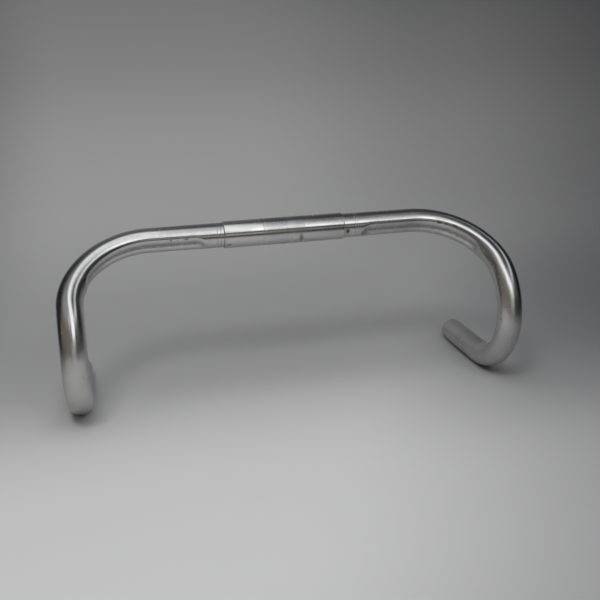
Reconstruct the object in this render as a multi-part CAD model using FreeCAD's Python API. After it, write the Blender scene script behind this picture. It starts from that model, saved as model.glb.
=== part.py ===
import FreeCAD, Part
import math
import os

# Drop handlebar for a road bicycle, in millimetres.
# The origin is the middle of the stem clamp, +X runs along the tops, +Y points to the rider, +Z is up.

# Bar tube
tube_od = 23.8
tube_wall = 1.6
tube_end_break = 0.4

# Centre sleeve
sleeve_od = 26.0
sleeve_length = 118.0
sleeve_end_round = 0.5

# Tops and corner bends
half_top = 129.2
corner_radius = 77.8
corner_turn = 63.4
corner_tight_radius = 61.5
ramp_slope = 36.9

# Hooks and drops
hook_radius = 52.4
hook_turn = 83.6
hook_wide_radius = 66.3
drop_length = 74.0

# Cable grooves, pressed into the inside of the corner bends
groove_depth = 4.0
groove_radius = 6.0
groove_shoulder = 6.1
groove_full_start = 88.0
groove_fade_turn = 9.4
groove_end_radius = 11.0
groove_fade_radius = 13.0
groove_end_turn = 100.0

# How far the bore's core runs past the open ends, so that the cut is clean
core_overrun = 5.0

# Closer than this, two surfaces count as touching
touch = 1e-3

tube_radius = tube_od / 2
bore_radius = tube_radius - tube_wall
sleeve_radius = sleeve_od / 2
groove_offset = tube_radius - groove_depth + groove_radius
groove_full_turn = corner_turn - groove_fade_turn
quarter_turn = math.degrees(math.pi / 2)

origin = FreeCAD.Vector(0, 0, 0)
along = FreeCAD.Vector(1, 0, 0)
slope = math.radians(ramp_slope)
ramp = FreeCAD.Vector(0, -math.cos(slope), -math.sin(slope))
under = FreeCAD.Vector(0, math.sin(slope), -math.cos(slope))


def rod(point, heading, legs, radius):
    """A round rod along legs that run smoothly into each other.

    A leg is (length, 0, None) when straight, or (bend radius, turn, direction to the centre).
    """
    pieces = []
    for size, turn, towards in legs:
        face = Part.Face(Part.Wire(Part.Circle(point, heading, radius).toShape()))
        if not turn:
            pieces.append(face.extrude(heading * size))
            point = point + heading * size
            continue
        centre = point + towards * size
        axis = heading.cross(towards)
        pieces.append(face.revolve(centre, axis, turn))
        spin = FreeCAD.Rotation(axis, turn)
        point = centre + spin.multVec(point - centre)
        heading = spin.multVec(heading)
    return pieces


def joined(pieces):
    """One solid from pieces that meet face to face."""
    return pieces[0].multiFuse(pieces[1:]).removeSplitter().Solids[0]


def turned(direction, other, turn):
    """A direction after a turn in the plane that it spans with another one."""
    angle = math.radians(turn)
    return direction * math.cos(angle) - other * math.sin(angle)


def half_bar(radius, overrun):
    """The right half of the bar as a solid rod of one radius."""
    rest = quarter_turn - corner_turn
    tail = 2 * quarter_turn - ramp_slope - hook_turn
    legs = [
        (half_top, 0, None),
        (corner_radius, corner_turn, ramp),
        (corner_tight_radius, rest, turned(ramp, along, corner_turn)),
        (hook_radius, hook_turn, under),
        (hook_wide_radius, tail, turned(under, ramp, hook_turn)),
        (drop_length + overrun, 0, None),
    ]
    return joined(rod(origin, along, legs, radius))


def groove_tool(radius):
    """The round tool that presses the right groove and lifts out of the tube at both ends."""
    start = along * groove_full_start + ramp * groove_offset
    inner = [(groove_end_radius, groove_end_turn, ramp)]
    outer = [
        (half_top - groove_full_start, 0, None),
        (corner_radius - groove_offset, groove_full_turn, ramp),
        (groove_fade_radius, groove_end_turn, turned(ramp, along, groove_full_turn)),
    ]
    return joined(rod(start, -along, inner, radius) + rod(start, along, outer, radius))


def touches(edge, surface):
    """Whether an edge lies on a surface."""
    middle = edge.valueAt((edge.FirstParameter + edge.LastParameter) / 2)
    return Part.Vertex(middle).distToShape(surface)[0] < touch


def grooved_half(radius, tool_radius, shoulder, overrun):
    """The right half with its groove pressed in and the groove's lips rolled over."""
    plain = half_bar(radius, overrun)
    tool = groove_tool(tool_radius)
    pressed = plain.cut(tool)
    lips = [e for e in pressed.Edges if touches(e, plain.Shells[0]) and touches(e, tool.Shells[0])]
    return pressed.makeFillet(shoulder, lips).Solids[0]


def both_sides(half):
    """A half and its mirror image as one solid."""
    return joined([half, half.mirror(origin, along)])


outside = both_sides(grooved_half(tube_radius, groove_radius, groove_shoulder, 0))
core = both_sides(
    grooved_half(bore_radius, groove_radius + tube_wall, groove_shoulder - tube_wall, core_overrun)
)
hollow = outside.cut(core).Solids[0]
end_y = hollow.BoundBox.YMax
rims = [e for e in hollow.Edges if abs(e.BoundBox.YMin - end_y) < touch]
bar_tube = hollow.makeChamfer(tube_end_break, rims).Solids[0]

sleeve_start = along * (-sleeve_length / 2)
sleeve_blank = Part.makeCylinder(sleeve_radius, sleeve_length, sleeve_start, along)
sleeve_bore = Part.makeCylinder(tube_radius, sleeve_length, sleeve_start, along)
sleeve = sleeve_blank.cut(sleeve_bore)
corners = [e for e in sleeve.Edges if e.Closed and abs(e.Curve.Radius - sleeve_radius) < touch]
centre_sleeve = sleeve.makeFillet(sleeve_end_round, corners).Solids[0]

os.makedirs("parts", exist_ok=True)
bar_tube.exportStep("parts/bar_tube.step")
centre_sleeve.exportStep("parts/centre_sleeve.step")
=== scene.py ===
import math
from functools import reduce

import bpy
from mathutils import Matrix, Vector


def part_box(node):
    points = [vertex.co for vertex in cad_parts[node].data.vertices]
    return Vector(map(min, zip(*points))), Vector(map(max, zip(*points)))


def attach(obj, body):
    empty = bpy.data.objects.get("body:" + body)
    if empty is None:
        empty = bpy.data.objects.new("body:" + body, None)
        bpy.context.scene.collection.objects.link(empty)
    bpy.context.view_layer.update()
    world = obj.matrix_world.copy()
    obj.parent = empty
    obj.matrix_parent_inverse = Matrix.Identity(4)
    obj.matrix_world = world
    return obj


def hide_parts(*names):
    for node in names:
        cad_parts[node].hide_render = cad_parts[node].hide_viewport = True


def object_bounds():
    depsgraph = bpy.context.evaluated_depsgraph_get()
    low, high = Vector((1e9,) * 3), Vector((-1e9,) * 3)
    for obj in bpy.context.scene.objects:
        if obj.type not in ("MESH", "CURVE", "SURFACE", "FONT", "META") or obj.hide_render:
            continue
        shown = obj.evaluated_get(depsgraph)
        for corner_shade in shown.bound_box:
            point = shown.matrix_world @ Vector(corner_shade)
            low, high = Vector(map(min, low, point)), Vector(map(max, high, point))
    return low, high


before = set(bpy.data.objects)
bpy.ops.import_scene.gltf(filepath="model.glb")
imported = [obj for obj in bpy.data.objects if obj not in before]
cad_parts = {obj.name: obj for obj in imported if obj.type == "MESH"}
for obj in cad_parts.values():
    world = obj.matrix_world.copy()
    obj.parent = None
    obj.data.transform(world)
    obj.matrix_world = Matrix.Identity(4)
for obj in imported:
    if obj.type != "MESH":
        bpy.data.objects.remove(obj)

cad_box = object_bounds()

# Sizes of the bar, in metres and radians, as in the CAD model
BAR_SIZES = {
    "Tube radius": 0.0119,
    "Tube wall": 0.0016,
    "End break": 0.0004,
    "Half top": 0.1292,
    "Corner radius": 0.0778,
    "Corner turn": math.radians(63.4),
    "Corner tight radius": 0.0615,
    "Ramp slope": math.radians(36.9),
    "Hook radius": 0.0524,
    "Hook turn": math.radians(83.6),
    "Hook wide radius": 0.0663,
    "Drop length": 0.074,
    "Groove depth": 0.004,
    "Groove radius": 0.006,
    "Groove shoulder": 0.0061,
    "Groove full start": 0.088,
    "Groove full turn": math.radians(54.0),
    "Groove end radius": 0.011,
    "Groove fade radius": 0.013,
}

# The sleeve's length and radius come from the frame
sleeve_low, sleeve_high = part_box("centre_sleeve")
SLEEVE_LENGTH = sleeve_high.x - sleeve_low.x
SLEEVE_RADIUS = (sleeve_high.z - sleeve_low.z) / 2
SLEEVE_SIZES = {
    "Length": SLEEVE_LENGTH,
    "Outer radius": SLEEVE_RADIUS,
    "Bore radius": BAR_SIZES["Tube radius"],
    "End round": 0.0005,
}

# How finely the meshes are divided
BAR_DIVISIONS = {"Rows outside": 640, "Rows inside": 150, "Columns": 96}
SLEEVE_DIVISIONS = {"Columns": 160, "End round steps": 6}
WELD = 1e-5
SHARP_ANGLE = math.radians(30)

# Steps over the rim of the tube: a broken edge, the wall and another broken edge
RIM_STEPS = 3.0

# Directions along the tops and to the rider
ALONG = (1.0, 0.0, 0.0)
TO_RIDER = (0.0, 1.0, 0.0)


class Term:
    """One value in a node tree, a number or a vector, for use in plain formulas."""

    def __init__(self, graph, socket, vector=False):
        self.graph = graph
        self.socket = socket
        self.vector = vector

    def __add__(self, other):
        return self.graph.pair("ADD", self, other)

    __radd__ = __add__

    def __sub__(self, other):
        return self.graph.pair("SUBTRACT", self, other)

    def __rsub__(self, other):
        return self.graph.pair("SUBTRACT", other, self)

    def __mul__(self, other):
        return self.graph.pair("MULTIPLY", self, other)

    __rmul__ = __mul__

    def __truediv__(self, other):
        return self.graph.pair("DIVIDE", self, other)

    def __neg__(self):
        return self * -1.0

    def __abs__(self):
        return self.graph.math("ABSOLUTE", self)


def is_vector(value):
    """Whether a term or a plain value is a vector."""
    return value.vector if isinstance(value, Term) else isinstance(value, tuple)


class Graph:
    """Fills one node tree from plain formulas."""

    def __init__(self, tree):
        self.tree = tree

    def node(self, kind, inputs=None, **settings):
        """A new node with its settings and inputs."""
        made = self.tree.nodes.new(kind)
        for name, value in settings.items():
            setattr(made, name, value)
        for name, value in (inputs or {}).items():
            self.feed(made.inputs[name], value)
        return made

    def step(self, kind, inputs=None, **settings):
        """The first result of a new node."""
        return self.node(kind, inputs, **settings).outputs[0]

    def feed(self, socket, value):
        """Links a term or another socket to a socket, or sets a plain value on it."""
        if isinstance(value, Term):
            self.tree.links.new(value.socket, socket)
        elif isinstance(value, bpy.types.NodeSocket):
            self.tree.links.new(value, socket)
        else:
            socket.default_value = value

    def pair(self, operation, a, b):
        """A sum, difference, product or quotient of numbers or vectors."""
        if not (is_vector(a) or is_vector(b)):
            return self.math(operation, a, b)
        if operation == "MULTIPLY" and not (is_vector(a) and is_vector(b)):
            arrow, factor = (a, b) if is_vector(a) else (b, a)
            inputs = {0: arrow, "Scale": factor}
            made = self.node("ShaderNodeVectorMath", inputs, operation="SCALE")
        else:
            made = self.node("ShaderNodeVectorMath", {0: a, 1: b}, operation=operation)
        return Term(self, made.outputs["Vector"], True)

    def math(self, operation, *values):
        """The result of one Math node."""
        return Term(self, self.step("ShaderNodeMath", dict(enumerate(values)), operation=operation))

    def sin(self, angle):
        return self.math("SINE", angle)

    def cos(self, angle):
        return self.math("COSINE", angle)

    def most(self, *values):
        """The highest of some values."""
        return reduce(lambda a, b: self.math("MAXIMUM", a, b), values)

    def least(self, *values):
        """The lowest of some values."""
        return reduce(lambda a, b: self.math("MINIMUM", a, b), values)

    def root(self, value):
        """A square root, of zero where the value falls below it."""
        return self.math("SQRT", self.most(value, 0.0))

    def clamp(self, value, low=0.0, high=1.0):
        """The value, held between two limits."""
        return Term(self, self.step("ShaderNodeClamp", {"Value": value, "Min": low, "Max": high}))

    def below(self, value, limit):
        """One where the value is below the limit, zero elsewhere."""
        return self.math("LESS_THAN", value, limit)

    def pick(self, mask, one, zero):
        """The first value where the mask is one, the second where it is zero."""
        return zero + (one - zero) * mask

    def ramp(self, value, low, high, start=0.0, end=1.0):
        """A smooth change from start to end while the value goes from low to high."""
        inputs = {"Value": value, "From Min": low, "From Max": high, "To Min": start, "To Max": end}
        made = self.node("ShaderNodeMapRange", inputs, interpolation_type="SMOOTHSTEP")
        return Term(self, made.outputs["Result"])

    def vector(self, x, y, z):
        """A vector from its three parts."""
        return Term(self, self.step("ShaderNodeCombineXYZ", {"X": x, "Y": y, "Z": z}), True)

    def parts(self, vector):
        """The three parts of a vector."""
        made = self.node("ShaderNodeSeparateXYZ", {0: vector})
        return [Term(self, out) for out in made.outputs]


def new_group(name, kind, inputs, outputs):
    """A node group with named sockets: its tree, graph, input terms and output node."""
    tree = bpy.data.node_groups.new(name, kind)
    for label, (socket, value) in inputs.items():
        made = tree.interface.new_socket(name=label, in_out="INPUT", socket_type=socket)
        if value is not None:
            made.default_value = value
    for label, socket in outputs.items():
        tree.interface.new_socket(name=label, in_out="OUTPUT", socket_type=socket)
    graph = Graph(tree)
    source = graph.node("NodeGroupInput")
    terms = {
        label: Term(graph, source.outputs[label], socket == "NodeSocketVector")
        for label, (socket, _) in inputs.items()
    }
    return tree, graph, terms, graph.node("NodeGroupOutput")


def shape_group(name, sizes, divisions):
    """A geometry group with inputs for a piece's sizes and for how finely it is divided."""
    inputs = {label: ("NodeSocketFloat", value) for label, value in sizes.items()}
    inputs.update({label: ("NodeSocketInt", value) for label, value in divisions.items()})
    return new_group(name, "GeometryNodeTree", inputs, {"Geometry": "NodeSocketGeometry"})


def stored(graph, geometry, name, value, kind, domain):
    """A mesh that keeps a value under a name."""
    inputs = {"Geometry": geometry, "Name": name, "Value": value}
    settings = {"data_type": kind, "domain": domain}
    return graph.step("GeometryNodeStoreNamedAttribute", inputs, **settings)


def finish_tree(graph, geometry, material, result):
    """The last steps of a piece: smooth faces, sharp edges, real mesh and its material."""
    set_smooth = "GeometryNodeSetShadeSmooth"
    smooth = graph.step(set_smooth, {"Geometry": geometry}, domain="FACE")
    bend = graph.node("GeometryNodeInputMeshEdgeAngle").outputs["Unsigned Angle"]
    creased = graph.math("GREATER_THAN", Term(graph, bend), SHARP_ANGLE)
    edges = {"Geometry": smooth, "Selection": creased, "Shade Smooth": False}
    sharp = graph.step(set_smooth, edges, domain="EDGE")
    real = graph.step("GeometryNodeRealizeInstances", {"Geometry": sharp})
    dressed = graph.step("GeometryNodeSetMaterial", {"Geometry": real, "Material": material})
    graph.feed(result.inputs["Geometry"], dressed)


def bar_grid(g, size):
    """A grid over the outside, round one rim, back through the bore and round the other rim.

    It gives the mesh, and for each point the angle round the tube, the depth below the outside,
    the way from one end to the other as -1 to 1, and the end whose flat rim it is on, as 1 or -1.
    """
    outside = size["Rows outside"]
    inside = size["Rows inside"]
    columns = size["Columns"] + 1.0
    bore_start = outside + (RIM_STEPS - 1.0)
    rows = bore_start + inside + RIM_STEPS
    grid = g.step("GeometryNodeMeshGrid", {"Vertices X": rows, "Vertices Y": columns})
    index = Term(g, g.step("GeometryNodeInputIndex"))
    row = g.math("FLOOR", (index + 0.5) / columns)
    angle = (index - row * columns) / size["Columns"] * math.tau - math.pi
    way_out = g.clamp(row / (outside - 1.0))
    way_back = g.clamp((row - bore_start) / (inside - 1.0))
    ahead = 2.0 * way_out - 1.0 - 2.0 * way_back
    going_in = g.clamp(row - outside + 1.0, 0.0, RIM_STEPS)
    coming_out = g.clamp(row - bore_start - inside + 1.0, 0.0, RIM_STEPS)
    level = going_in - coming_out
    edge_in = g.clamp(level)
    wall_in = g.clamp(level - 1.0)
    bore_in = g.clamp(level - 2.0)
    chamfer = size["End break"]
    flat = size["Tube wall"] - 2.0 * chamfer
    inset = chamfer * edge_in + flat * wall_in + chamfer * bore_in
    rim = (edge_in - bore_in) * (1.0 - 2.0 * g.clamp(coming_out))
    return grid, angle, inset, ahead, rim


def bar_bends(size):
    """The radius and the turn of each bend in half the bar, from its middle outwards."""
    return (
        (size["Corner radius"], size["Corner turn"]),
        (size["Corner tight radius"], math.pi / 2 - size["Corner turn"]),
        (size["Hook radius"], size["Hook turn"]),
        (size["Hook wide radius"], math.pi - size["Ramp slope"] - size["Hook turn"]),
    )


def after_turn(graph, angle, heading, towards):
    """A line's heading, and the way to the inside of its bend, after it has turned."""
    cos = graph.cos(angle)
    sin = graph.sin(angle)
    return heading * cos + towards * sin, towards * cos - heading * sin


def bend_shift(graph, angle, radius, heading, towards):
    """How far a bend has carried the bar's line after some of its turn."""
    ahead = heading * (radius * graph.sin(angle))
    return ahead + towards * (radius * (1.0 - graph.cos(angle)))


def bar_line(g, size, bends, way):
    """The bar's line some way from its middle: its point, its inner side and its underside."""
    past = way - size["Half top"]
    turned = []
    for radius, turn in bends:
        length = radius * turn
        turned.append(g.clamp(past, 0.0, length) / radius)
        past = past - length

    # The headings that the line takes in turn, each with the way that it bends
    slope_cos = g.cos(size["Ramp slope"])
    slope_sin = g.sin(size["Ramp slope"])
    ramp = g.vector(0.0, -slope_cos, -slope_sin)
    under = g.vector(0.0, slope_sin, -slope_cos)
    headings = (
        (ALONG, ramp),
        after_turn(g, size["Corner turn"], ALONG, ramp),
        (ramp, under),
        after_turn(g, size["Hook turn"], ramp, under),
    )
    point = ALONG * g.least(way, size["Half top"])
    for (radius, _), angle, (heading, towards) in zip(bends, turned, headings):
        point = point + bend_shift(g, angle, radius, heading, towards)
    point = point + TO_RIDER * g.most(past, 0.0)

    corner_shade, tight_corner, hook, wide_hook = turned
    sideways = corner_shade + tight_corner
    downwards = hook + wide_hook
    inwards = ramp * g.cos(sideways) - ALONG * g.sin(sideways)
    below = under * g.cos(downwards) - ramp * g.sin(downwards)
    return point, inwards, below


def groove_lift(graph, past, run_radius, size):
    """The groove's depth some way past its full stretch, where it lifts out and its lip rolls."""
    depth = size["Groove depth"]
    lip = size["Groove shoulder"]
    across = run_radius + lip
    up = across - depth
    reach = graph.root(across * across - up * up)
    knee = reach * run_radius / across
    way = graph.clamp(past, 0.0, reach)
    left = reach - way
    bowl = depth - run_radius + graph.root(run_radius * run_radius - way * way)
    rolled = lip - graph.root(lip * lip - left * left)
    return graph.pick(graph.below(way, knee), bowl, rolled)


def groove_depth(g, size, way):
    """The groove's depth along the bar: full round most of the corner, lifting out at both ends."""
    bend_inside = size["Corner radius"] - size["Tube radius"] + size["Groove depth"]
    run_in = size["Groove end radius"] + size["Groove radius"]
    fade = size["Groove fade radius"] + size["Groove radius"]
    run_out = fade * bend_inside / (bend_inside - fade)
    full_end = size["Half top"] + size["Corner radius"] * size["Groove full turn"]
    past_end = (way - full_end) * bend_inside / size["Corner radius"]
    return g.least(
        groove_lift(g, size["Groove full start"] - way, run_in, size),
        groove_lift(g, past_end, run_out, size),
    )


def bar_section(g, size, depth, inset, angle):
    """The wall's distance from the bar's line: a round with a round valley and rolled shoulders."""
    valley_middle = size["Tube radius"] - depth + size["Groove radius"]
    shoulder_middle = size["Tube radius"] - size["Groove shoulder"]
    reach = size["Groove radius"] + size["Groove shoulder"]
    across = shoulder_middle * shoulder_middle + valley_middle * valley_middle - reach * reach
    spread_cos = g.clamp(across / (2.0 * valley_middle * shoulder_middle), -1.0, 1.0)
    spread = g.math("ARCCOSINE", spread_cos)
    roll = size["Groove shoulder"] - inset
    share = roll / reach
    touch_in = g.pick(share, valley_middle, shoulder_middle * spread_cos)
    touch_out = shoulder_middle * g.sin(spread) * (1.0 - share)
    touch = g.math("ARCTAN2", touch_out, touch_in)
    turn = abs(angle)
    hollow = size["Groove radius"] + inset
    valley_sin = valley_middle * g.sin(turn)
    valley = valley_middle * g.cos(turn) - g.root(hollow * hollow - valley_sin * valley_sin)
    off = turn - spread
    shoulder_sin = shoulder_middle * g.sin(off)
    shoulder = shoulder_middle * g.cos(off) + g.root(roll * roll - shoulder_sin * shoulder_sin)
    pressed = g.pick(g.below(turn, touch), valley, shoulder)
    return g.pick(g.below(turn, spread), pressed, size["Tube radius"] - inset)


def bar_tree(material):
    """The bar tube as a closed mesh that follows the bar's line."""
    tree, g, size, result = shape_group("drop_bar", BAR_SIZES, BAR_DIVISIONS)
    radius = size["Tube radius"]
    chamfer = size["End break"]
    grid, angle, inset, ahead, rim = bar_grid(g, size)
    bends = bar_bends(size)
    half = sum((bend * turn for bend, turn in bends), size["Half top"]) + size["Drop length"]
    station = (half - chamfer) * ahead + chamfer * rim
    way = abs(station)
    centre, inwards, below = bar_line(g, size, bends, way)
    reached = bar_section(g, size, groove_depth(g, size, way), inset, angle)
    x, y, z = g.parts(centre + (inwards * g.cos(angle) + below * g.sin(angle)) * reached)
    place = g.vector(x * g.math("SIGN", station), y, z)
    shaped = g.step("GeometryNodeSetPosition", {"Geometry": grid, "Position": place})

    # Each corner of a face reads its own point, so that the two sides of the seam stay apart
    unrolled = g.step(
        "GeometryNodeFieldOnDomain",
        {"Value": g.vector(station, angle * radius, 0.0)},
        data_type="FLOAT_VECTOR",
        domain="POINT",
    )
    facts = (
        ("length_and_round", "FLOAT2", "CORNER", unrolled),
        ("groove", "FLOAT", "POINT", (radius - inset - reached) / size["Groove depth"]),
        ("bore", "FLOAT", "POINT", inset / size["Tube wall"]),
    )
    for name, kind, domain, value in facts:
        shaped = stored(g, shaped, name, value, kind, domain)
    welded = g.step("GeometryNodeMergeByDistance", {"Geometry": shaped, "Distance": WELD})
    outwards = g.step("GeometryNodeFlipFaces", {"Mesh": welded})
    finish_tree(g, outwards, material, result)
    return tree


def sleeve_tree(material):
    """The centre sleeve: a wall section with rounded outer corners, swept round the bar."""
    tree, g, size, result = shape_group("centre_sleeve", SLEEVE_SIZES, SLEEVE_DIVISIONS)
    outer = size["Outer radius"]
    bore = size["Bore radius"]
    wall = {"Width": outer - bore, "Height": size["Length"]}
    section = g.step("GeometryNodeCurvePrimitiveQuadrilateral", wall)
    place = Term(g, g.step("GeometryNodeInputPosition"), True)
    x, y, z = g.parts(place)
    outer_side = g.math("GREATER_THAN", x, 0.0)
    rounding = {"Radius": size["End round"] * outer_side, "Count": size["End round steps"]}
    rounded = g.step("GeometryNodeFilletCurve", {"Curve": section, **rounding}, mode="POLY")
    middle = {"Resolution": size["Columns"], "Radius": (outer + bore) / 2.0}
    ring = g.step("GeometryNodeCurvePrimitiveCircle", middle)
    swept = g.step("GeometryNodeCurveToMesh", {"Curve": ring, "Profile Curve": rounded})
    onto_the_bar = (0.0, math.pi / 2, 0.0)
    turned = g.step("GeometryNodeTransform", {"Geometry": swept, "Rotation": onto_the_bar})
    unrolled = g.vector(x, g.math("ARCTAN2", z, y) * outer, 0.0)
    marked = stored(g, turned, "length_and_round", unrolled, "FLOAT2", "CORNER")
    finish_tree(g, marked, material, result)
    return tree


def new_object(name, data):
    """An object in the scene."""
    made = bpy.data.objects.new(name, data)
    bpy.context.scene.collection.objects.link(made)
    return made


def nodes_piece(name, tree):
    """A plain mesh object with what a geometry tree makes, its inputs set one by one."""
    host = new_object(name + "_maker", bpy.data.meshes.new(name + "_maker"))
    modifier = host.modifiers.new("shape", "NODES")
    modifier.node_group = tree
    for socket in tree.interface.items_tree:
        if socket.in_out == "INPUT":
            modifier[socket.identifier] = socket.default_value
    seen = host.evaluated_get(bpy.context.evaluated_depsgraph_get())
    mesh = bpy.data.meshes.new_from_object(seen)
    host.modifiers.remove(modifier)
    bpy.data.objects.remove(host)
    for slot in reversed(range(len(mesh.materials))):
        if mesh.materials[slot] is None:
            mesh.materials.pop(index=slot)
    mesh.name = name
    return new_object(name, mesh)


# Shared effects: how their noise is mixed, and the limits between which they show
NOISE_MIDDLE = 0.5
FINE_LINES_SHARE = 0.6
BROAD_LINES_SCALE = 0.18
CLOUD_SHARE = 0.75
WISP_SCALE = 7.0
HAZE_LIMITS = (0.38, 0.66)
HAIRLINE_SOFT = 0.05
RAGGED_SCALE = 1400.0
RAGGED_EDGE = 0.8
MARK_LIMITS = (1.05, 0.45)

# Runs of hairlines: the slant of each in radians, and how far it is stretched
HAIRLINE_RUNS = ((0.3, 0.05), (-0.9, 0.07), (1.5, 0.04))

# What places a worn mark
MARK_PLACE = ("Middle along", "Middle round", "Half length", "Half width")


def noise(graph, place, scale, detail=2.0, roughness=0.5):
    """A soft random value between zero and one that changes over a place."""
    inputs = {"Vector": place, "Scale": scale, "Detail": detail, "Roughness": roughness}
    return Term(graph, graph.node("ShaderNodeTexNoise", inputs).outputs["Fac"])


def patches(graph, place, scale, limits, **grain):
    """A mask in random patches, so many to a metre, with the limits of a smooth change."""
    return graph.ramp(noise(graph, place, scale, **grain), *limits)


def shader_group(name, labels, output):
    """A shader node group with a place, some numbers and one value for its result."""
    inputs = {"Place": ("NodeSocketVector", None)}
    inputs.update({label: ("NodeSocketFloat", None) for label in labels})
    return new_group(name, "ShaderNodeTree", inputs, {output: "NodeSocketFloat"})


def polish_lines_group():
    """Fine lines that a polishing belt leaves, long one way and close together the other way."""
    tree, g, value, result = shader_group("polish_lines", ("Along", "Across"), "Lines")
    along, across, deep = g.parts(value["Place"])
    place = g.vector(along * value["Along"], across * value["Across"], deep * value["Across"])
    fine = noise(g, place, 1.0, detail=3.0, roughness=0.6)
    broad = noise(g, place, BROAD_LINES_SCALE)
    lines = fine * FINE_LINES_SHARE + broad * (1.0 - FINE_LINES_SHARE)
    g.feed(result.inputs["Lines"], lines)
    return tree


def handling_haze_group():
    """Cloudy patches where hands, tape and cloths have dulled the polish."""
    tree, g, value, result = shader_group("handling_haze", ("Patches",), "Haze")
    cloud = noise(g, value["Place"], value["Patches"], detail=3.0, roughness=0.55)
    wisp = noise(g, value["Place"], value["Patches"] * WISP_SCALE)
    mixed = cloud * CLOUD_SHARE + wisp * (1.0 - CLOUD_SHARE)
    g.feed(result.inputs["Haze"], g.ramp(mixed, *HAZE_LIMITS))
    return tree


def hairlines_group():
    """Sparse thin scratches, short and at a slant."""
    tree, g, value, result = shader_group("hairlines", ("Per metre", "Rarity"), "Scratches")
    rare = value["Rarity"]
    runs = []
    for slant, stretch in HAIRLINE_RUNS:
        inputs = {"Vector": value["Place"], "Angle": slant}
        turned = g.step("ShaderNodeVectorRotate", inputs, rotation_type="Z_AXIS")
        x, y, z = (part * value["Per metre"] for part in g.parts(Term(g, turned, True)))
        thin = noise(g, g.vector(x * stretch, y, z), 1.0, detail=1.0)
        runs.append(g.ramp(thin, rare, rare + HAIRLINE_SOFT))
    g.feed(result.inputs["Scratches"], g.most(*runs))
    return tree


def worn_mark_group():
    """One mark with ragged edges, at a place on the surface and of a given size."""
    tree, g, value, result = shader_group("worn_mark", (*MARK_PLACE, "Ragged"), "Mark")
    along, across, _ = g.parts(value["Place"])
    x = (along - value["Middle along"]) / value["Half length"]
    y = (across - value["Middle round"]) / value["Half width"]
    rough = noise(g, value["Place"], RAGGED_SCALE, detail=3.0, roughness=0.6)
    ragged = (rough - NOISE_MIDDLE) * value["Ragged"] * 2.0
    g.feed(result.inputs["Mark"], g.ramp(g.root(x * x + y * y) + ragged, *MARK_LIMITS))
    return tree


def placed(graph, tree, place, values):
    """A shared effect in a material: its one result at a place, with the material's values."""
    return Term(graph, graph.step("ShaderNodeGroup", {"Place": place, **values}, node_tree=tree))


def marks(graph, effects, place, spots):
    """Worn marks at a list of places, as one mask."""
    made = []
    for spot in spots:
        values = {**dict(zip(MARK_PLACE, spot)), "Ragged": RAGGED_EDGE}
        made.append(placed(graph, effects["worn_mark"], place, values))
    return graph.most(*made)


# Sockets of a Mix node that mixes colours
MIX_FACTOR = 0
MIX_BASE = 6
MIX_OVER = 7
MIX_RESULT = 2


def new_material(name):
    """An empty material and the graph that fills it."""
    material = bpy.data.materials.new(name)
    material.use_nodes = True
    material.node_tree.nodes.clear()
    return material, Graph(material.node_tree)


def coordinates(graph, kind="Object"):
    """A point of a surface in metres or, as Generated, a direction in the world."""
    return Term(graph, graph.node("ShaderNodeTexCoord").outputs[kind], True)


def attribute(graph, name):
    """A number that the mesh keeps under a name."""
    made = graph.node("ShaderNodeAttribute", attribute_name=name, attribute_type="GEOMETRY")
    return Term(graph, made.outputs["Fac"])


def blend(graph, mask, base, over):
    """One colour laid over another where the mask is one."""
    inputs = {MIX_FACTOR: mask, MIX_BASE: base, MIX_OVER: over}
    return graph.node("ShaderNodeMix", inputs, data_type="RGBA").outputs[MIX_RESULT]


def band(graph, value, middle, half_width, soft):
    """One on a band round a value, zero beyond its soft edge."""
    return graph.ramp(abs(value - middle), half_width + soft, half_width)


def glow_band(graph, value, middle, half_width, soft):
    """A band of light whose soft edge reaches as far inwards as outwards."""
    return graph.ramp(abs(value - middle) - half_width, soft, -soft)


# Finishes, as linear colours
ALLOY = (0.60, 0.597, 0.590, 1.0)
ALLOY_HAZED = (0.55, 0.545, 0.535, 1.0)
ALLOY_BRIGHT = (0.68, 0.675, 0.665, 1.0)
ALLOY_DULL = (0.46, 0.462, 0.468, 1.0)
ALLOY_RAW = (0.40, 0.395, 0.385, 1.0)
# Dark colour for grime, and for the painted shade where the bar and the sleeve meet
GRIME_AND_SHADE = (0.060, 0.052, 0.042, 1.0)

# What both metals share: how far the polish stretches a highlight, and what wear adds to roughness
POLISH_STRETCH = 0.88
LINES_ROUGHNESS = 0.08
HAZE_ROUGHNESS = 0.05

# Relief in metres, and how many times as high each effect stands
RELIEF_DEPTH = 0.00003
LINES_RELIEF = 0.5
SCRATCH_RELIEF = -0.3
CUT_RELIEF = -2.0
GRIME_AND_SHADE_RELIEF = 0.6


def finish_metal(graph, colour, metallic, roughness, height, strength):
    """The shader of a bare metal surface with a fine relief, polished round the tube."""
    bump = {"Height": height, "Strength": strength, "Distance": RELIEF_DEPTH}
    length = {"direction_type": "UV_MAP", "uv_map": "length_and_round"}
    shader = graph.step(
        "ShaderNodeBsdfPrincipled",
        {
            "Base Color": colour,
            "Metallic": metallic,
            "Roughness": roughness,
            "Anisotropic": POLISH_STRETCH,
            "Normal": graph.step("ShaderNodeBump", bump),
            "Tangent": graph.step("ShaderNodeTangent", **length),
        },
    )
    graph.node("ShaderNodeOutputMaterial", {"Surface": shader})


# The bar's polish: its lines, haze and hairlines, and how rough it is
BAR_LINES = {"Along": 45.0, "Across": 2600.0}
BAR_HAZE = {"Patches": 32.0}
BAR_HAIRLINES = {"Per metre": 1300.0, "Rarity": 0.76}
BAR_RELIEF = 0.14
BAR_ROUGHNESS = 0.22
BORE_ROUGHNESS = 0.5
BORE_LIMITS = (0.3, 0.7)
BAR_HAZE_SHARE = 0.8
BAR_SCRATCH_ROUGHNESS = 0.08

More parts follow.
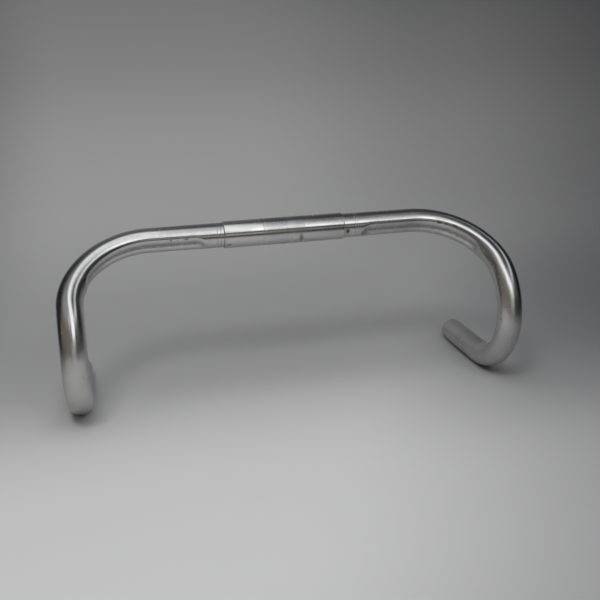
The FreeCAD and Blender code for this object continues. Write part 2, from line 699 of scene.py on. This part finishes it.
# Grime on the bar: along it from its middle, round it from the bend's inside, half length and width
GRIME_MARKS = (
    (-0.1096, -0.0084, 0.0014, 0.0006),
    (-0.1033, -0.0086, 0.0010, 0.0005),
    (-0.0950, -0.0088, 0.0028, 0.0007),
    (0.0622, -0.0044, 0.0025, 0.0034),
    (0.1596, -0.0104, 0.0046, 0.0019),
    (0.1672, -0.0105, 0.0034, 0.0016),
    (0.1770, -0.0114, 0.0060, 0.0014),
    (0.1675, -0.0224, 0.0008, 0.0008),
    (0.2195, -0.0212, 0.0036, 0.0016),
    (0.2867, -0.0037, 0.0009, 0.0006),
    (0.2930, -0.0047, 0.0009, 0.0006),
)
GRIME_SHARE = 0.95
# Roughness and metal cover where grime and the painted shade beside the sleeve lie
GRIME_AND_SHADE_ROUGHNESS = 0.25
GRIME_AND_SHADE_COVER = 0.85

# Darker patches along the groove's valley, and painted shade in the corner beside the sleeve,
# thinner there on the upper side
VALLEY_AND_CORNER_SCALE = 260.0
VALLEY_FLOOR = (0.80, 1.0)
VALLEY_PATCHES = (0.30, 0.62)
VALLEY_SHARE = 0.45
CORNER_REACH = 0.0007
CORNER_PATCHES = (0.25, 0.55, 0.45, 1.0)
CORNER_UPPER_SIDE = (-0.017, -0.010, 0.4, 1.0)
CORNER_SHARE = 0.9

# Scuffs that have broken the polish, placed as the grime is
SCUFFS = (
    (0.1600, -0.0142, 0.0110, 0.0024),
    (0.1980, -0.0168, 0.0090, 0.0020),
)
SCUFF_SCALE = 700.0
SCUFF_PATCHES = (0.30, 0.65, 0.3, 1.0)
SCUFF_ROUGHNESS = 0.14

# Cuts round the bar, along it from its middle
TAPE_CUTS = (-0.0655, -0.0622, 0.0702, 0.0728)
TAPE_CUT_WIDTH = 0.00035
CUT_SCALE = 180.0
CUT_PATCHES = (0.35, 0.60)
CUT_SHARE = 0.45

# Dull stretches: along the bar from its middle, half length, and where the upper side starts
DULL_STRETCHES = ((-0.085, 0.020, -0.0138), (0.202, 0.018, -0.006))
DULL_SOFT = 0.022
DULL_EDGE = 0.0025


def bar_grime_and_shade(g, effects, place):
    """Grime marks on the bar, darker patches along the groove's valley, and painted shade in the
    corner beside the sleeve.
    """
    along, across, _ = g.parts(place)
    patchy = noise(g, place, VALLEY_AND_CORNER_SCALE, detail=3.0)
    valley = g.ramp(attribute(g, "groove"), *VALLEY_FLOOR) * g.ramp(patchy, *VALLEY_PATCHES)
    off_sleeve = abs(along) - SLEEVE_LENGTH / 2
    # Painted shade in the corner where the bar meets the sleeve's ends, thinner on the upper side
    corner_shade = g.ramp(off_sleeve, CORNER_REACH, 0.0) * g.ramp(patchy, *CORNER_PATCHES)
    corner_shade = corner_shade * g.ramp(across, *CORNER_UPPER_SIDE)
    spots = marks(g, effects, place, GRIME_MARKS)
    return g.most(spots * GRIME_SHARE, valley * VALLEY_SHARE, corner_shade * CORNER_SHARE)


def tape_cuts(g, place):
    """Broken cuts that a blade left round the bar where tape was trimmed."""
    along, _, _ = g.parts(place)
    half = TAPE_CUT_WIDTH / 2
    rings = [band(g, along, middle, half, half) for middle in TAPE_CUTS]
    return g.most(*rings) * patches(g, place, CUT_SCALE, CUT_PATCHES)


def dull_stretches(g, place):
    """Stretches of the bar whose upper side has lost some of its polish."""
    along, across, _ = g.parts(place)
    made = []
    for middle, half_length, top_side in DULL_STRETCHES:
        upper = g.ramp(across, top_side, top_side - DULL_EDGE)
        made.append(band(g, along, middle, half_length, DULL_SOFT) * upper)
    return g.most(*made)


def bar_material(effects):
    """Satin polished alloy with lines along the tube, dull patches, tape cuts, grime, and painted
    shade beside the sleeve.
    """
    material, g = new_material("bar_alloy")
    place = Term(g, g.step("ShaderNodeUVMap", uv_map="length_and_round"), True)
    bore = g.ramp(attribute(g, "bore"), *BORE_LIMITS)
    lines = placed(g, effects["polish_lines"], place, BAR_LINES)
    haze = placed(g, effects["handling_haze"], coordinates(g), BAR_HAZE)
    scratches = placed(g, effects["hairlines"], place, BAR_HAIRLINES)
    grime_and_shade = bar_grime_and_shade(g, effects, place)
    cuts = tape_cuts(g, place)
    broken = patches(g, place, SCUFF_SCALE, SCUFF_PATCHES, detail=3.0, roughness=0.7)
    scuffs = marks(g, effects, place, SCUFFS) * broken
    # Dark marks: grime, tape cuts, and painted shade beside the sleeve
    marks_and_shade = g.clamp(grime_and_shade + cuts * CUT_SHARE)

    hazed = blend(g, g.clamp(haze * BAR_HAZE_SHARE + scuffs), ALLOY, ALLOY_HAZED)
    dulled = blend(g, dull_stretches(g, place), hazed, ALLOY_DULL)
    clean = blend(g, bore, dulled, ALLOY_RAW)
    colour = blend(g, marks_and_shade, clean, GRIME_AND_SHADE)
    outside = (
        BAR_ROUGHNESS
        + haze * HAZE_ROUGHNESS
        + (lines - NOISE_MIDDLE) * LINES_ROUGHNESS
        + scratches * BAR_SCRATCH_ROUGHNESS
        + scuffs * SCUFF_ROUGHNESS
    )
    roughness = g.pick(bore, BORE_ROUGHNESS, outside) + marks_and_shade * GRIME_AND_SHADE_ROUGHNESS
    height = (
        lines * LINES_RELIEF
        + scratches * SCRATCH_RELIEF
        + cuts * CUT_RELIEF
        + grime_and_shade * GRIME_AND_SHADE_RELIEF
    )
    metallic = g.clamp(1.0 - marks_and_shade * GRIME_AND_SHADE_COVER)
    finish_metal(g, colour, metallic, roughness, height, BAR_RELIEF)
    return material


# The sleeve's polish: its lines, haze and hairlines, and how rough it is
SLEEVE_LINES = {"Along": 25.0, "Across": 3200.0}
SLEEVE_HAZE = {"Patches": 55.0}
SLEEVE_HAIRLINES = {"Per metre": 1000.0, "Rarity": 0.71}
SLEEVE_RELIEF = 0.05
SLEEVE_ROUGHNESS = 0.20
SLEEVE_HAZE_SHARE = 0.3
SLEEVE_SCRATCH_ROUGHNESS = 0.06

# The band where the stem held the sleeve, along it from its middle and round it from its rear side
CLAMP_LOW = -0.021
CLAMP_HIGH = 0.019
CLAMP_SOFT = 0.0012
CLAMP_WAVE_SCALE = 120.0
CLAMP_WAVE = 0.002
CLAMP_ROUGHNESS = 0.27
CLAMP_SCRATCH_ROUGHNESS = 0.08
CLAMP_HAZE_SHARE = 0.4
CLAMP_DULL_REAR = (0.0, 0.004)
CLAMP_DULL_FRONT = (0.0342, 0.0320)

# Bright rings on the sleeve: middle, half width and soft edge
BRIGHT_RINGS = ((0.0065, 0.0028, 0.0012), (-0.019, 0.0006, 0.0006))
BRIGHT_SCALE = 160.0
BRIGHT_PATCHES = (0.3, 0.6, 0.4, 1.0)
BRIGHT_SHARE = 0.5

# Smudges on the sleeve, placed along it and round it in the same way, with half length and width
SLEEVE_SMUDGES = (
    (0.0155, -0.0345, 0.0022, 0.0060),
    (-0.0550, -0.0326, 0.0038, 0.0015),
)
SMUDGE_SHARE = 0.6
SMUDGE_AND_SHADE_ROUGHNESS = 0.2
SMUDGE_AND_SHADE_COVER = 0.8

# Painted shade on the sleeve's end edges, where they meet the bar
EDGE_HALF_WIDTH = 0.0003
EDGE_SOFT = 0.0005
EDGE_SCALE = 220.0
EDGE_PATCHES = (0.3, 0.6)
EDGE_SHARE = 0.5


def clamped_band(g, solid):
    """The band where the stem held the sleeve, with edges that waver a little."""
    along = g.parts(solid)[0]
    wave = (noise(g, solid, CLAMP_WAVE_SCALE) - NOISE_MIDDLE) * CLAMP_WAVE
    middle = (CLAMP_LOW + CLAMP_HIGH) / 2
    return band(g, along + wave, middle, (CLAMP_HIGH - CLAMP_LOW) / 2, CLAMP_SOFT)


def sleeve_material(effects):
    """Polished alloy with rings round the sleeve, a duller band where the stem held it, and painted
    shade at its ends.
    """
    material, g = new_material("sleeve_alloy")
    solid = coordinates(g)
    x, y, z = g.parts(solid)
    turn = g.math("ARCTAN2", z, y) * SLEEVE_RADIUS
    unrolled = g.vector(x, turn, 0.0)
    lines = placed(g, effects["polish_lines"], g.vector(turn, x, 0.0), SLEEVE_LINES)
    haze = placed(g, effects["handling_haze"], solid, SLEEVE_HAZE)
    scratches = placed(g, effects["hairlines"], unrolled, SLEEVE_HAIRLINES)
    held = clamped_band(g, solid)
    upper_side = g.ramp(turn, *CLAMP_DULL_REAR) * g.ramp(turn, *CLAMP_DULL_FRONT)
    rings = g.most(*(band(g, x, *ring) for ring in BRIGHT_RINGS))
    bright = rings * patches(g, solid, BRIGHT_SCALE, BRIGHT_PATCHES, detail=3.0)
    smudge = marks(g, effects, unrolled, SLEEVE_SMUDGES)
    # Painted shade along both ends, where the sleeve meets the bar
    end_shade = band(g, abs(x), SLEEVE_LENGTH / 2, EDGE_HALF_WIDTH, EDGE_SOFT)
    end_shade = end_shade * patches(g, solid, EDGE_SCALE, EDGE_PATCHES)
    # Dark marks: smudges, and the painted shade at the ends
    marks_and_shade = g.clamp(smudge * SMUDGE_SHARE + end_shade * EDGE_SHARE)

    hazing = g.clamp(held * CLAMP_HAZE_SHARE + haze * SLEEVE_HAZE_SHARE)
    hazed = blend(g, hazing, ALLOY, ALLOY_HAZED)
    dulled = blend(g, held * upper_side, hazed, ALLOY_DULL)
    lit = blend(g, bright * BRIGHT_SHARE, dulled, ALLOY_BRIGHT)
    colour = blend(g, marks_and_shade, lit, GRIME_AND_SHADE)
    roughness = (
        SLEEVE_ROUGHNESS
        + held * (CLAMP_ROUGHNESS - SLEEVE_ROUGHNESS)
        + haze * HAZE_ROUGHNESS
        + (lines - NOISE_MIDDLE) * LINES_ROUGHNESS
        + scratches * (SLEEVE_SCRATCH_ROUGHNESS + held * CLAMP_SCRATCH_ROUGHNESS)
        + marks_and_shade * SMUDGE_AND_SHADE_ROUGHNESS
    )
    height = lines * LINES_RELIEF + scratches * (1.0 + held) * SCRATCH_RELIEF
    metallic = g.clamp(1.0 - marks_and_shade * SMUDGE_AND_SHADE_COVER)
    finish_metal(g, colour, metallic, roughness, height, SLEEVE_RELIEF)
    return material


# Where the camera stands and how it looks at the bar
CAMERA_PLACE = Vector((-0.17504, -0.81549, 0.18961))
CAMERA_YAW = math.radians(13.13)
CAMERA_PITCH = math.radians(17.385)
CAMERA_ROLL = math.radians(-1.4595)
FRAME_PIXELS = 600
FOCAL_PIXELS = 876.98
SENSOR_WIDTH = 36.0


def add_camera():
    """The camera, at the photograph's place and angle."""
    forward = Vector((
        math.sin(CAMERA_YAW) * math.cos(CAMERA_PITCH),
        math.cos(CAMERA_YAW) * math.cos(CAMERA_PITCH),
        -math.sin(CAMERA_PITCH),
    ))
    level = forward.cross(Vector((0, 0, 1))).normalized()
    above = level.cross(forward)
    right = level * math.cos(CAMERA_ROLL) + above * math.sin(CAMERA_ROLL)
    up = above * math.cos(CAMERA_ROLL) - level * math.sin(CAMERA_ROLL)
    turn = Matrix((right, up, -forward)).transposed()
    data = bpy.data.cameras.new("camera")
    data.sensor_width = SENSOR_WIDTH
    data.lens = SENSOR_WIDTH * FOCAL_PIXELS / FRAME_PIXELS
    camera = new_object("camera", data)
    camera.location = CAMERA_PLACE
    camera.rotation_euler = turn.to_euler()
    bpy.context.scene.camera = camera


# Floor that sweeps up behind the bar
FLOOR_FRONT = -3.0
SWEEP_START = 0.02
SWEEP_RADIUS = 0.30
WALL_TOP = 1.2
STAGE_HALF_WIDTH = 3.0
SWEEP_STEPS = 32

# Pale paper, and the colour of its painted shade
PAPER = (0.64, 0.64, 0.64, 1.0)
PAPER_SHADED = (0.020, 0.023, 0.030, 1.0)
PAPER_ROUGHNESS = 0.85
FIBRE_SCALE = 900.0
FIBRE_SHADE = 0.02

# Painted shade on the floor: two limits in metres, and what they give if it isn't zero and one
FRONT_SHADE = (-0.95, -0.30)
BACK_SHADE = (-0.20, 0.14, 1.0, 0.50)
LEFT_SLANT = 0.35
LEFT_SHADE = (-0.60, -0.30)
RIGHT_SLANT = 0.55
RIGHT_SHADE = (0.09, 0.46, 1.0, 0.50)
RIGHT_END = (0.62, 0.44)

# Painted light on the wall's foot, weaker to the right, and painted shade above it, deeper on the
# right
WALL_FOOT = (-0.12, -0.02)
WALL_FOOT_LIGHT = (0.02, 0.30, 1.20, 0.90)
WALL_SHADE = (0.04, 0.35, 1.0, 0.48)
WALL_UPPER = (0.15, 0.40)
WALL_RIGHT = (-0.05, 0.25)
WALL_RIGHT_SHADE = 0.6

# A strip of painted shade along the floor's right side, between the bar and the wall
STRIP_SIDE = (0.08, 0.30)
STRIP_FRONT = (-0.24, -0.08)
STRIP_TOP = (-0.05, -0.13)
STRIP_SHADE = 0.25


def floor_light(g, solid):
    """How much of the paper's pale colour is kept, as painted light and shade: all of it in the
    middle, less towards its sides.
    """
    x, y, z = g.parts(solid)
    front = g.ramp(y, *FRONT_SHADE)
    back = g.ramp(y, *BACK_SHADE)
    foot = g.ramp(z, *WALL_FOOT, 1.0, g.ramp(x, *WALL_FOOT_LIGHT))
    high = foot * g.ramp(z, *WALL_SHADE)
    slanted = x - y * RIGHT_SLANT
    corner_shade = g.ramp(x, *WALL_RIGHT) * g.ramp(z, *WALL_UPPER)
    strip = g.ramp(slanted, *STRIP_SIDE) * g.ramp(y, *STRIP_FRONT) * g.ramp(z, *STRIP_TOP)
    right = g.ramp(slanted, *RIGHT_SHADE) * g.ramp(slanted, *RIGHT_END)
    right = right * (1.0 - corner_shade * WALL_RIGHT_SHADE) * (1.0 - strip * STRIP_SHADE)
    left = g.ramp(x - y * LEFT_SLANT, *LEFT_SHADE)
    return front * back * high * right * left


def floor_material():
    """Pale paper painted into shade away from the middle, clear when seen from behind."""
    material, g = new_material("floor_paper")
    solid = coordinates(g)
    fibre = noise(g, solid, FIBRE_SCALE, detail=4.0, roughness=0.6)
    pale = g.clamp(floor_light(g, solid) + (fibre - NOISE_MIDDLE) * FIBRE_SHADE)
    paper = {"Base Color": blend(g, pale, PAPER_SHADED, PAPER), "Roughness": PAPER_ROUGHNESS}
    shader = g.step("ShaderNodeBsdfPrincipled", paper)
    clear = g.step("ShaderNodeBsdfTransparent")
    behind = g.node("ShaderNodeNewGeometry").outputs["Backfacing"]
    both = g.step("ShaderNodeMixShader", {0: behind, 1: shader, 2: clear})
    g.node("ShaderNodeOutputMaterial", {"Surface": both})
    return material


def add_stage():
    """A floor at the bar's lowest point that curves up into a wall behind it."""
    floor = cad_box[0].z
    line = [(FLOOR_FRONT, floor)]
    for step in range(SWEEP_STEPS + 1):
        turn = math.pi / 2 * step / SWEEP_STEPS
        rise = SWEEP_RADIUS * (1 - math.cos(turn))
        line.append((SWEEP_START + SWEEP_RADIUS * math.sin(turn), floor + rise))
    line.append((SWEEP_START + SWEEP_RADIUS, WALL_TOP))
    points = [(x, y, z) for y, z in line for x in (-STAGE_HALF_WIDTH, STAGE_HALF_WIDTH)]
    faces = [(2 * i, 2 * i + 1, 2 * i + 3, 2 * i + 2) for i in range(len(line) - 1)]
    mesh = bpy.data.meshes.new("floor")
    mesh.from_pydata(points, [], faces)
    mesh.shade_smooth()
    mesh.materials.append(floor_material())
    sweep = new_object("floor", mesh)


# Soft light panel overhead, slanting away to the front, in metres from its own middle
PANEL_PLACE = (0.165, -0.93, 1.0)
PANEL_TURN = math.radians(20.0)
PANEL_HALF_WIDTH = 0.29
PANEL_WIDENING = 0.12
PANEL_HALF_LENGTH = 1.15
PANEL_SOFT = 0.10
PANEL_LIGHT = (1.30, 1.32, 1.36, 1.0)


def panel_material():
    """A clear sheet that gives light downwards and fades towards its edges."""
    material, g = new_material("light_panel")
    across, length, _ = g.parts(coordinates(g))
    half_width = PANEL_HALF_WIDTH - length * PANEL_WIDENING
    glow = glow_band(g, across, 0.0, half_width, PANEL_SOFT)
    glow = glow * glow_band(g, length, 0.0, PANEL_HALF_LENGTH, PANEL_SOFT)
    facing = 1.0 - Term(g, g.node("ShaderNodeNewGeometry").outputs["Backfacing"])
    light = g.step("ShaderNodeEmission", {"Color": PANEL_LIGHT, "Strength": glow * facing})
    clear = g.step("ShaderNodeBsdfTransparent")
    both = g.step("ShaderNodeAddShader", {0: light, 1: clear})
    g.node("ShaderNodeOutputMaterial", {"Surface": both})
    return material


def add_panel():
    """The overhead panel, facing down."""
    x = PANEL_HALF_WIDTH + PANEL_WIDENING * PANEL_HALF_LENGTH + 2 * PANEL_SOFT
    y = PANEL_HALF_LENGTH + PANEL_SOFT
    mesh = bpy.data.meshes.new("light_panel")
    mesh.from_pydata([(-x, -y, 0), (-x, y, 0), (x, y, 0), (x, -y, 0)], [], [(0, 1, 2, 3)])
    mesh.materials.append(panel_material())
    panel = new_object("light_panel", mesh)
    panel.location = PANEL_PLACE
    panel.rotation_euler = (0, 0, PANEL_TURN)


# The room round the bar: its own dim light, darkest low on the right
ROOM_LEFT = (0.174, 0.158, 0.126)
ROOM_RIGHT_LOW = (0.004, 0.004, 0.004)
ROOM_RIGHT_HIGH = (0.042, 0.044, 0.048)
ROOM_LEFT_SIDE = (0.35, -0.25)
ROOM_UPPER = (0.15, 0.50)

# Its pale ceiling on the left
CEILING = (0.20, 0.215, 0.25)
CEILING_HEIGHT = (0.55, 0.80)
CEILING_SIDE = (0.20, -0.15)

# Soft bright patches: light, heading, half width, height, half height and softness in degrees
PATCHES = (
    ((0.42, 0.42, 0.42), 6.0, 16.0, 6.0, 8.0, 7.0),
    ((0.08, 0.08, 0.08), 60.0, 18.0, 16.0, 8.0, 6.0),
    ((1.05, 1.05, 1.05), 20.0, 15.0, 35.0, 10.0, 6.0),
    ((0.95, 0.96, 0.97), 62.0, 22.0, 46.0, 7.0, 6.0),
    ((0.80, 0.81, 0.82), 95.0, 14.0, 51.0, 8.0, 5.0),
    ((0.70, 0.70, 0.70), -14.0, 10.0, 52.0, 7.0, 6.0),
)
TO_DEGREES = math.degrees(1)


def add_world():
    """A dark room, warmer on the left, with soft bright patches."""
    world = bpy.data.worlds.new("studio")
    bpy.context.scene.world = world
    world.use_nodes = True
    world.node_tree.nodes.clear()
    g = Graph(world.node_tree)
    x, y, z = g.parts(coordinates(g, "Generated"))
    heading = g.math("ARCTAN2", x, -y) * TO_DEGREES
    height = g.math("ARCSINE", g.clamp(z, -1.0, 1.0)) * TO_DEGREES
    left = g.ramp(x, *ROOM_LEFT_SIDE)
    upper = g.ramp(z, *ROOM_UPPER)
    right = ROOM_RIGHT_LOW * (1.0 - upper) + ROOM_RIGHT_HIGH * upper
    light = ROOM_LEFT * left + right * (1.0 - left)
    light = light + CEILING * (g.ramp(z, *CEILING_HEIGHT) * g.ramp(x, *CEILING_SIDE))
    for glow, middle, half_width, level, half_height, soft in PATCHES:
        wide = glow_band(g, heading, middle, half_width, soft)
        light = light + glow * (wide * glow_band(g, height, level, half_height, soft))
    back = g.step("ShaderNodeBackground", {"Color": light, "Strength": 1.0})
    g.node("ShaderNodeOutputWorld", {"Surface": back})


# Soft lamps that light the floor and stay out of the metal's reflections: power, size and place
LAMPS = {
    "overhead_fill": (3.5, (1.6, 1.0), (-0.10, -0.35, 0.98)),
    "front_left_key": (3.7, (0.28, 0.28), (-0.36, -0.66, 0.93)),
}


def add_lamps():
    """The lamps, each turned towards the bar."""
    for name, (power, size, place) in LAMPS.items():
        data = bpy.data.lights.new(name, "AREA")
        data.shape = "RECTANGLE"
        data.size, data.size_y = size
        data.energy = power
        lamp = new_object(name, data)
        lamp.location = place
        lamp.rotation_euler = Vector(place).to_track_quat("Z", "Y").to_euler()
        lamp.visible_glossy = False


effects = {
    "polish_lines": polish_lines_group(),
    "handling_haze": handling_haze_group(),
    "hairlines": hairlines_group(),
    "worn_mark": worn_mark_group(),
}
bar = nodes_piece("bar_tube_skin", bar_tree(bar_material(effects)))
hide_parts("bar_tube")
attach(bar, "root")
sleeve = nodes_piece("centre_sleeve_skin", sleeve_tree(sleeve_material(effects)))
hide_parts("centre_sleeve")
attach(sleeve, "root")

add_camera()
add_stage()
add_panel()
add_world()
add_lamps()
bpy.context.scene.view_settings.view_transform = "Standard"
